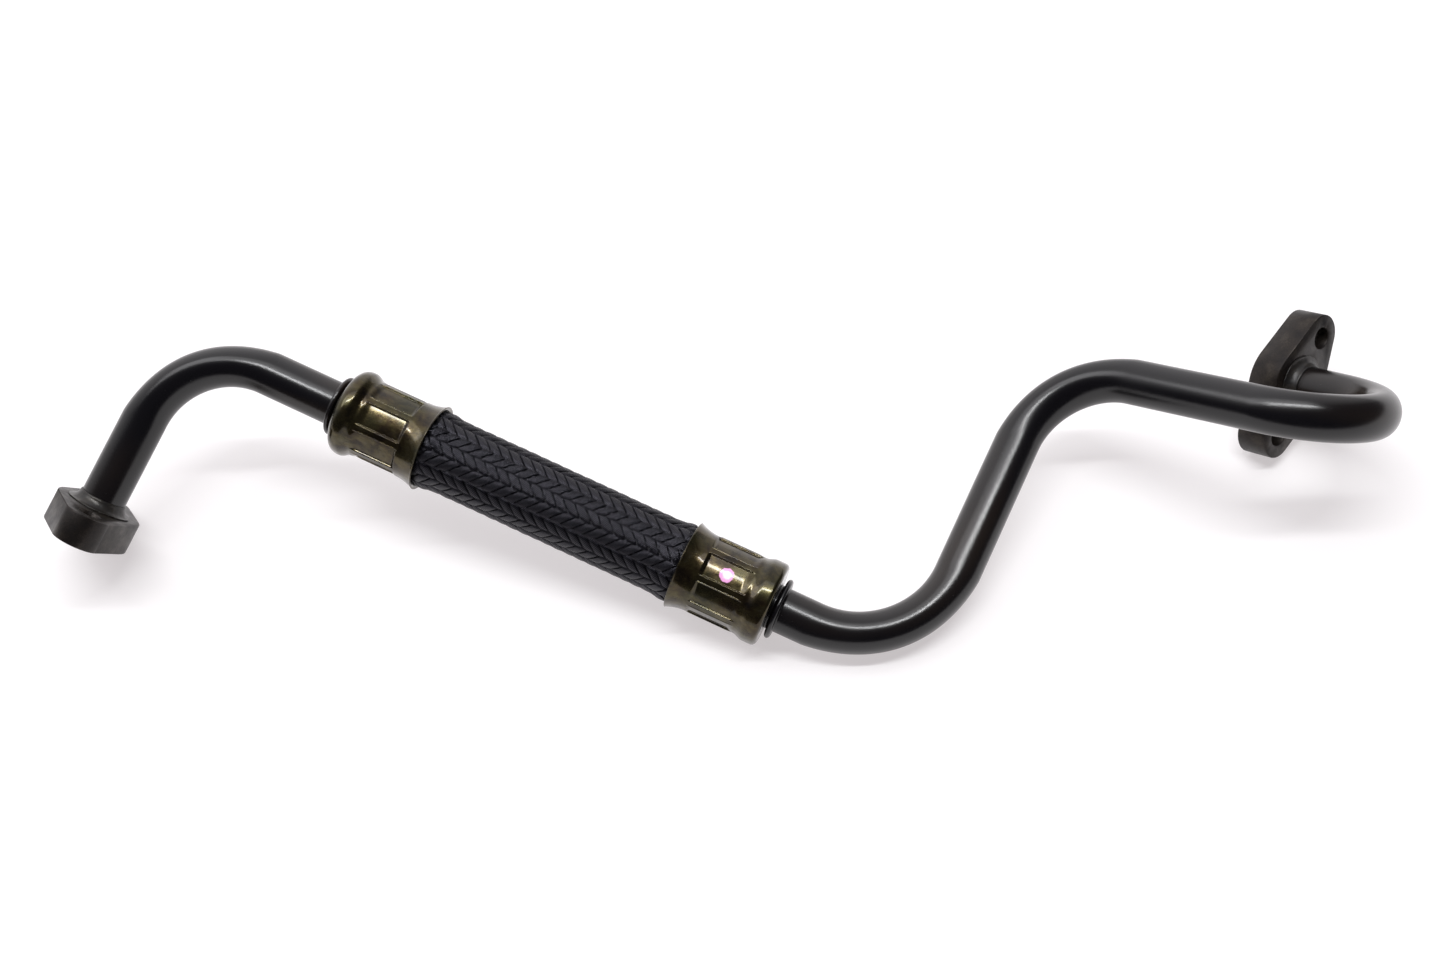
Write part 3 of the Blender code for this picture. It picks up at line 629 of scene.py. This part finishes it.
def ferrule(end, sign, bulge_radius, end_rounding, clocking, look):
    """The skin of one ferrule: round its outside from the mouth, and back along its inside."""
    turn = ferrule_columns()
    rows = []
    corner = np.radians(np.linspace(-90, 0, 6))
    mouth = float(outline_radius(np.array(0.0), bulge_radius, end_rounding))
    for angle in corner[:-1]:
        radius = mouth - RIM_ROUNDING * (1 - cos(angle))
        rows.append((RIM_ROUNDING * (1 + sin(angle)), radius + 0 * turn))
    for along in ferrule_stations(end_rounding):
        outline = outline_radius(along, bulge_radius, end_rounding)
        rows.append((along, pressed_radius(turn, along, outline)))
    lip_radius = TUBE_RADIUS + SEAT_GAP
    last = float(rows[-1][1][0])
    for share, chamfer in ((0.35, 0.0), (0.7, 0.0), (0.93, 0.0), (1.0, LIP_CHAMFER)):
        rows.append((FERRULE_LENGTH - chamfer, last + (lip_radius - last) * share + 0 * turn))
    room_end = FERRULE_LENGTH - FERRULE_END_WALL
    rows.append((room_end, lip_radius + 0 * turn))
    pocket_end = FLARE_LENGTH + POCKET_LENGTH
    for along in (room_end, FERRULE_LENGTH - BULGE_LENGTH, pocket_end, FLARE_LENGTH):
        outer = float(outline_radius(np.array(along), bulge_radius, end_rounding))
        if FLARE_LENGTH <= along <= pocket_end:
            outer = POCKET_APOTHEM
        rows.append((along, outer - FERRULE_WALL + 0 * turn))
    for along in np.linspace(FLARE_LENGTH * 0.9, RIM_ROUNDING, 8):
        outer = float(outline_radius(np.array(along), bulge_radius, end_rounding))
        squeezed = MOUTH_SQUEEZE * smoothstep(0.3 * FLARE_LENGTH, FLARE_LENGTH, along)
        rows.append((along, outer - FERRULE_WALL - squeezed + 0 * turn))
    rows.append((0.0, mouth - FERRULE_WALL + RIM_ROUNDING + 0 * turn))
    radius = np.array([made for _, made in rows])
    along = np.array([made for made, _ in rows])[:, None] + 0 * turn
    angle = np.radians(turn)
    local = np.stack([radius * np.cos(angle), radius * np.sin(angle), along], axis=-1)
    heading = Vector((sign, 0, 0))
    frame = tangent_frame(heading * HOSE_VISIBLE_LENGTH / 2, heading, Vector((0, 0, 1)))
    frame = frame @ Matrix.Rotation(radians(clocking), 4, "Z")
    name, node = end + "_ferrule_skin", end + "_ferrule"
    skin(name, laid(local, frame), local, look, "ferrule_plating", node)


# Braid

def hose_outline(x):
    """Outer radius of the hose along X: swollen just outside the mouths, squeezed inside them."""
    mouth = HOSE_VISIBLE_LENGTH / 2
    inside = np.abs(x) - mouth
    swell = BRAID_SWELL * smoothstep(-BRAID_SWELL_LENGTH, -0.2 * BRAID_SWELL_LENGTH, inside)
    squeeze = 0.0020 * smoothstep(0.0, 0.6 * FLARE_LENGTH, inside)
    squeeze += 0.00035 * smoothstep(-0.0012, 0.0, inside)
    return HOSE_RADIUS + swell - squeeze


def weave(turn):
    """1 where the strands that climb with X are on top, -1 where the others are."""
    wave = np.cos((turn - radians(STRAND_CLOCKING)) * STRANDS / 2)
    return np.tanh(WEAVE_SHARPNESS * wave) / np.tanh(WEAVE_SHARPNESS)


def strand_set(name, direction, look):
    """One set of flat strands; direction is 1 for those that climb with X and -1 for the others."""
    spacing = 2 * pi / STRANDS
    slope = spacing / STRAND_PITCH
    lean = cos(atan(slope * HOSE_RADIUS))
    start, origin = radians(STRAND_CLOCKING), STRAND_OFFSET
    if direction < 0:
        start -= spacing / 4
        origin -= STRAND_PITCH / 4
    columns = YARNS * YARN_POINTS * 2 + 1
    across = np.linspace(-1, 1, columns)
    x = np.linspace(-STRAND_REACH, STRAND_REACH, ceil(2 * STRAND_REACH / STRAND_STEP) + 1)
    yarn = np.abs(np.sin(np.linspace(0, YARNS * pi, columns)))
    edge = np.clip(np.abs(across) - STRAND_EDGE, 0, 1) / (1 - STRAND_EDGE)
    section = YARN_BUMP * yarn - STRAND_CROWN * across**2 - STRAND_DEPTH * edge
    half_width = STRAND_COVER * spacing / 2
    rest = np.random.default_rng(11 if direction > 0 else 12)
    points, places = [], []
    for number in range(STRANDS):
        lift = rest.uniform(-0.00003, 0.00004)
        wander = rest.uniform(-STRAND_WANDER, STRAND_WANDER) * spacing
        drift = STRAND_WANDER * spacing * np.sin(x * STRAND_WAVES + rest.uniform(0, 2 * pi))
        middle = start + wander + number * spacing + direction * slope * (x - origin) + drift
        turn = middle[:, None] + half_width * across
        height = direction * weave(turn) * WEAVE_HEIGHT
        radius = hose_outline(x)[:, None] - STRAND_SINK * WEAVE_HEIGHT + height + section + lift
        block = [x[:, None] + 0 * turn, -radius * np.sin(turn), radius * np.cos(turn)]
        length = (x / lean)[:, None]
        width = half_width * HOSE_RADIUS * across * lean
        own_number = number + 20.0 * (direction > 0)
        place = [width + 0 * turn, length + 0 * turn, own_number + 0 * turn]
        points.append(np.stack(block, axis=-1))
        places.append(np.stack(place, axis=-1))
    return woven(name, np.array(points), np.array(places), look, direction)


def woven(name, points, places, look, direction):
    """One mesh of all strands of a set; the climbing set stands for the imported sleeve."""
    strands, rows, columns = points.shape[:3]
    strand, row, column = np.meshgrid(
        np.arange(strands), np.arange(rows - 1), np.arange(columns - 1), indexing="ij",
    )
    first = (strand * rows + row) * columns + column
    faces = np.stack([first, first + 1, first + columns + 1, first + columns], axis=-1).reshape(-1, 4)
    mesh = placed_mesh(name, laid(points.reshape(-1, 3)), faces, places)
    nodes = ["hose_braid"] if direction > 0 else []
    return dress(name, mesh, look, "hose_textile", *nodes)


# Flanges

def tangent_frame(point, heading, side):
    """A matrix with local Z along the heading and local X toward the given side."""
    z_axis = heading.normalized()
    x_axis = (side - side.dot(z_axis) * z_axis).normalized()
    y_axis = z_axis.cross(x_axis)
    frame = Matrix((x_axis, y_axis, z_axis)).transposed().to_4x4()
    frame.translation = point
    return frame


def flange_outline():
    """Two ears joined to a round middle by straight tangents."""
    half_pitch = BOLT_PITCH / 2
    tangent = acos((FLANGE_CENTRE_RADIUS - FLANGE_EAR_RADIUS) / half_pitch)

    def arc(centre_x, radius, start, end):
        steps = ceil(degrees(end - start) / 4.0)
        turns = np.linspace(start, end, steps + 1)
        return [(centre_x + radius * cos(turn), radius * sin(turn)) for turn in turns]

    right = arc(half_pitch, FLANGE_EAR_RADIUS, -tangent, tangent)
    top = arc(0.0, FLANGE_CENTRE_RADIUS, tangent, pi - tangent)
    left = arc(-half_pitch, FLANGE_EAR_RADIUS, pi - tangent, pi + tangent)
    bottom = arc(0.0, FLANGE_CENTRE_RADIUS, pi + tangent, 2 * pi - tangent)
    return right + top + left + bottom


def solid(rings, joined=False):
    """A throw-away closed solid through rings of points; joined leads the last ring to the first."""
    work = bmesh.new()
    rings = [[work.verts.new(point) for point in line] for line in rings]
    count = len(rings[0])
    for here, after in zip(rings, rings[1:] + rings[:1] if joined else rings[1:]):
        for number in range(count):
            beside = (number + 1) % count
            work.faces.new((here[number], here[beside], after[beside], after[number]))
    if not joined:
        work.faces.new(rings[0])
        work.faces.new(rings[-1])
    bmesh.ops.recalc_face_normals(work, faces=work.faces)
    mesh = bpy.data.meshes.new("helper")
    work.to_mesh(mesh)
    work.free()
    made = bpy.data.objects.new("helper", mesh)
    bpy.context.scene.collection.objects.link(made)
    return made


def turned_solid(profile, offset=0.0, joined=False):
    rows = turned(profile, 96)
    rows[..., 0] += offset
    return solid(rows.tolist(), joined)


def flange(end, frame, look):
    """Local Z runs from the tube's side to the mating face, local X along the bolt holes."""
    outline = flange_outline()
    body = solid([[(x, y, z) for x, y in outline] for z in (0.0, FLANGE_THICKNESS)])
    high = FLANGE_THICKNESS + CUT_PAST
    floor = FLANGE_THICKNESS - 2 * SEAL_CORD_RADIUS - SEAT_GAP
    socket = TUBE_RADIUS + SEAT_GAP
    hole = [(-CUT_PAST, BOLT_HOLE_RADIUS), (high, BOLT_HOLE_RADIUS)]
    port = [
        (-CUT_PAST, socket), (SOCKET_DEPTH, socket), (SOCKET_DEPTH, PORT_RADIUS), (high, PORT_RADIUS),
    ]
    inner, outer = SEAL_RADIUS - SEAL_GROOVE_WIDTH / 2, SEAL_RADIUS + SEAL_GROOVE_WIDTH / 2
    groove = [(floor, inner), (high, inner), (high, outer), (floor, outer)]
    cutters = [
        turned_solid(hole, BOLT_PITCH / 2), turned_solid(hole, -BOLT_PITCH / 2),
        turned_solid(port), turned_solid(groove, joined=True),
    ]
    for number, tool in enumerate(cutters):
        modifier = body.modifiers.new("cut_" + str(number), "BOOLEAN")
        modifier.operation = "DIFFERENCE"
        modifier.solver = "EXACT"
        modifier.object = tool
    bevel = body.modifiers.new("edges", "BEVEL")
    bevel.width = FLANGE_EDGE
    bevel.segments = 3
    bevel.limit_method = "ANGLE"
    bevel.angle_limit = radians(40)
    bevel.use_clamp_overlap = True
    bevel.harden_normals = True
    bpy.context.view_layer.update()
    finished = body.evaluated_get(bpy.context.evaluated_depsgraph_get())
    mesh = bpy.data.meshes.new_from_object(finished)
    for tool in [body] + cutters:
        bpy.data.objects.remove(tool, do_unlink=True)
    mesh.transform(LAID @ frame)
    mesh.name = end + "_flange_skin"
    dress(end + "_flange_skin", mesh, look, "flange_phosphate", end + "_flange")
    mesh.set_sharp_from_angle(angle=radians(32))


def seal(end, frame, look):
    """The O-ring, level with the mating face."""
    steps = 24
    centre = FLANGE_THICKNESS - SEAL_CORD_RADIUS
    profile = []
    for step in range(steps):
        turn = 2 * pi * step / steps
        along = centre + SEAL_CORD_RADIUS * cos(turn)
        profile.append((along, SEAL_RADIUS + SEAL_CORD_RADIUS * sin(turn)))
    local = turned(profile, RING_SIDES)
    name, node = end + "_seal_skin", end + "_flange_seal"
    skin(name, laid(local, frame), local, look, "seal_rubber", node)


def braze(end, frame, look):
    """The fillet between tube and flange; its surface ripples a little round the joint."""
    foot = TUBE_RADIUS + BRAZE_GAP
    steps = 16
    profile = [(-BRAZE_LIFT, foot), (-BRAZE_LIFT, foot + BRAZE_LEG)]
    for step in range(steps + 1):
        angle = pi / 2 * step / steps
        out = BRAZE_EDGE + (BRAZE_LEG - BRAZE_EDGE) * (1 - sin(angle))
        up = BRAZE_EDGE + (BRAZE_HEIGHT - BRAZE_EDGE) * (1 - cos(angle))
        profile.append((-up, foot + out))
    profile.append((-BRAZE_HEIGHT - BRAZE_TOE, foot))
    local = turned(profile, 120)
    turn = np.arctan2(local[..., 1], local[..., 0])
    outward = np.clip((np.hypot(local[..., 0], local[..., 1]) - foot) / BRAZE_LEG, 0, 1)
    ripple = sum(rise * np.sin(waves * turn + shift) for rise, waves, shift in BRAZE_RIPPLES)
    local[..., 0] += ripple * outward * np.cos(turn)
    local[..., 1] += ripple * outward * np.sin(turn)
    name, node = end + "_braze_skin", end + "_flange_braze"
    skin(name, laid(local, frame), local, look, "flange_phosphate", node)


# Stage

def stage_floor():
    """Pale paper that keeps the object's shadow and looks nearly white to the camera."""
    made, tree = blank_material("studio_floor")
    path = add(tree, "LightPath")
    seen = math(tree, "MAXIMUM", path.outputs["Is Camera Ray"], path.outputs["Is Glossy Ray"])
    seen = math(tree, "MAXIMUM", seen, path.outputs["Is Transmission Ray"])
    paper = add(tree, "BsdfDiffuse", {"Color": (0.50, 0.50, 0.50, 1)})
    strength = math(tree, "MULTIPLY", seen, FLOOR_GLOW)
    glow = add(tree, "Emission", {"Color": (1.0, 0.945, 0.955, 1), "Strength": strength})
    both = add(tree, "AddShader", {0: paper.outputs[0], 1: glow.outputs[0]})
    add(tree, "OutputMaterial", {"Surface": both.outputs[0]})
    mesh = bpy.data.meshes.new("studio_floor")
    square = [(-1, -1), (1, -1), (1, 1), (-1, 1)]
    points = [(x * FLOOR_REACH, y * FLOOR_REACH, 0.0) for x, y in square]
    mesh.from_pydata(points, [], [(0, 1, 2, 3)])
    mesh.materials.append(made)
    floor = bpy.data.objects.new("studio_floor", mesh)
    bpy.context.scene.collection.objects.link(floor)


def lamp(name, place, size, radiance, colour):
    """A flat lamp that shines straight down; its power follows from how bright it looks."""
    light = bpy.data.lights.new(name, "AREA")
    light.shape = "RECTANGLE"
    light.size, light.size_y = size
    light.energy = radiance * pi * size[0] * size[1]
    light.color = colour
    made = bpy.data.objects.new(name, light)
    made.location = place
    bpy.context.scene.collection.objects.link(made)


def stage_light():
    """A long ceiling lamp over the object, dimmer ones behind it and to its left, and a dim room.

    The room is pale behind the object, up and to the left.
    """
    lamp("ceiling_lamp", CEILING_LAMP, (1.30, 0.11), 37.0, (0.98, 0.99, 1.0))
    lamp("back_lamp", BACK_LAMP, (1.50, 0.55), 1.6, (0.98, 0.98, 1.0))
    lamp("left_lamp", LEFT_LAMP, (0.90, 0.80), 3.0, (0.98, 0.98, 1.0))
    world = bpy.data.worlds.new("studio")
    world.use_nodes = True
    tree = world.node_tree
    tree.nodes.clear()
    toward = {0: add(tree, "TexCoord").outputs["Generated"], 1: PALE_WALL}
    share = add(tree, "VectorMath", toward, operation="DOT_PRODUCT").outputs["Value"]
    room = ramp(tree, share, [
        (0.0, (0.05, 0.05, 0.06)), (0.30, (0.10, 0.10, 0.11)),
        (0.60, (0.75, 0.74, 0.76)), (1.0, (1.25, 1.22, 1.25)),
    ])
    background = add(tree, "Background", {"Color": room, "Strength": 1.0})
    add(tree, "OutputWorld", {"Surface": background.outputs[0]})
    bpy.context.scene.world = world


def camera():
    """The photograph's camera; its focal length is in pixels of the photograph."""
    data = bpy.data.cameras.new("camera")
    data.sensor_fit = "HORIZONTAL"
    data.lens = FOCAL_PIXELS * data.sensor_width / PHOTO_SIZE[0]
    data.clip_start = 0.01
    made = bpy.data.objects.new("camera", data)
    right = CAMERA_AIM.cross(CAMERA_UP).normalized()
    turn = Matrix((right, right.cross(CAMERA_AIM), -CAMERA_AIM)).transposed().to_4x4()
    made.matrix_world = Matrix.Translation(CAMERA_PLACE) @ turn
    bpy.context.scene.collection.objects.link(made)
    bpy.context.scene.camera = made


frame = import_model()
bpy.context.scene.view_settings.view_transform = "Standard"
camera()
stage_floor()
stage_light()

coating, phosphate, braze_look = tube_coating(), flange_phosphate(), braze_metal()
seal_look, hose_look = rubber("seal_rubber", 0.018), rubber("hose_rubber", 0.012)
yarn_look = woven_yarn()
for end, sign, bends, end_run, clocking in (
    ("cooler", -1, COOLER_BENDS, COOLER_END_RUN, COOLER_FLANGE_CLOCKING),
    ("engine", 1, ENGINE_BENDS, ENGINE_END_RUN, ENGINE_FLANGE_CLOCKING),
):
    face = tube(end, sign, bends, end_run, coating)
    ears = Quaternion(face.heading, radians(clocking)) @ face.side
    seat = tangent_frame(face.point, face.heading, ears)
    flange(end, seat, phosphate)
    seal(end, seat, seal_look)
    braze(end, seat, braze_look)

mark_turn = radians(MARK_TURN)
mark = (POCKET_APOTHEM * cos(mark_turn), POCKET_APOTHEM * sin(mark_turn), MARK_ALONG)
for end, sign, bulge_radius, end_rounding, clocking, look in (
    ("cooler", -1, COOLER_BULGE_RADIUS, COOLER_END_ROUNDING, COOLER_POCKET_CLOCKING,
     ferrule_plating("cooler_plating")),
    ("engine", 1, ENGINE_BULGE_RADIUS, ENGINE_END_ROUNDING, ENGINE_POCKET_CLOCKING,
     ferrule_plating("engine_plating", mark)),
):
    ferrule(end, sign, bulge_radius, end_rounding, clocking, look)
strand_set("braid_climbing", 1, yarn_look)
strand_set("braid_falling", -1, yarn_look)
for node, look in (
    ("hose_liner", hose_look), ("hose_reinforcement", yarn_look), ("hose_cover", hose_look),
):
    for slot in frame["nodes"][node].material_slots:
        slot.material = look
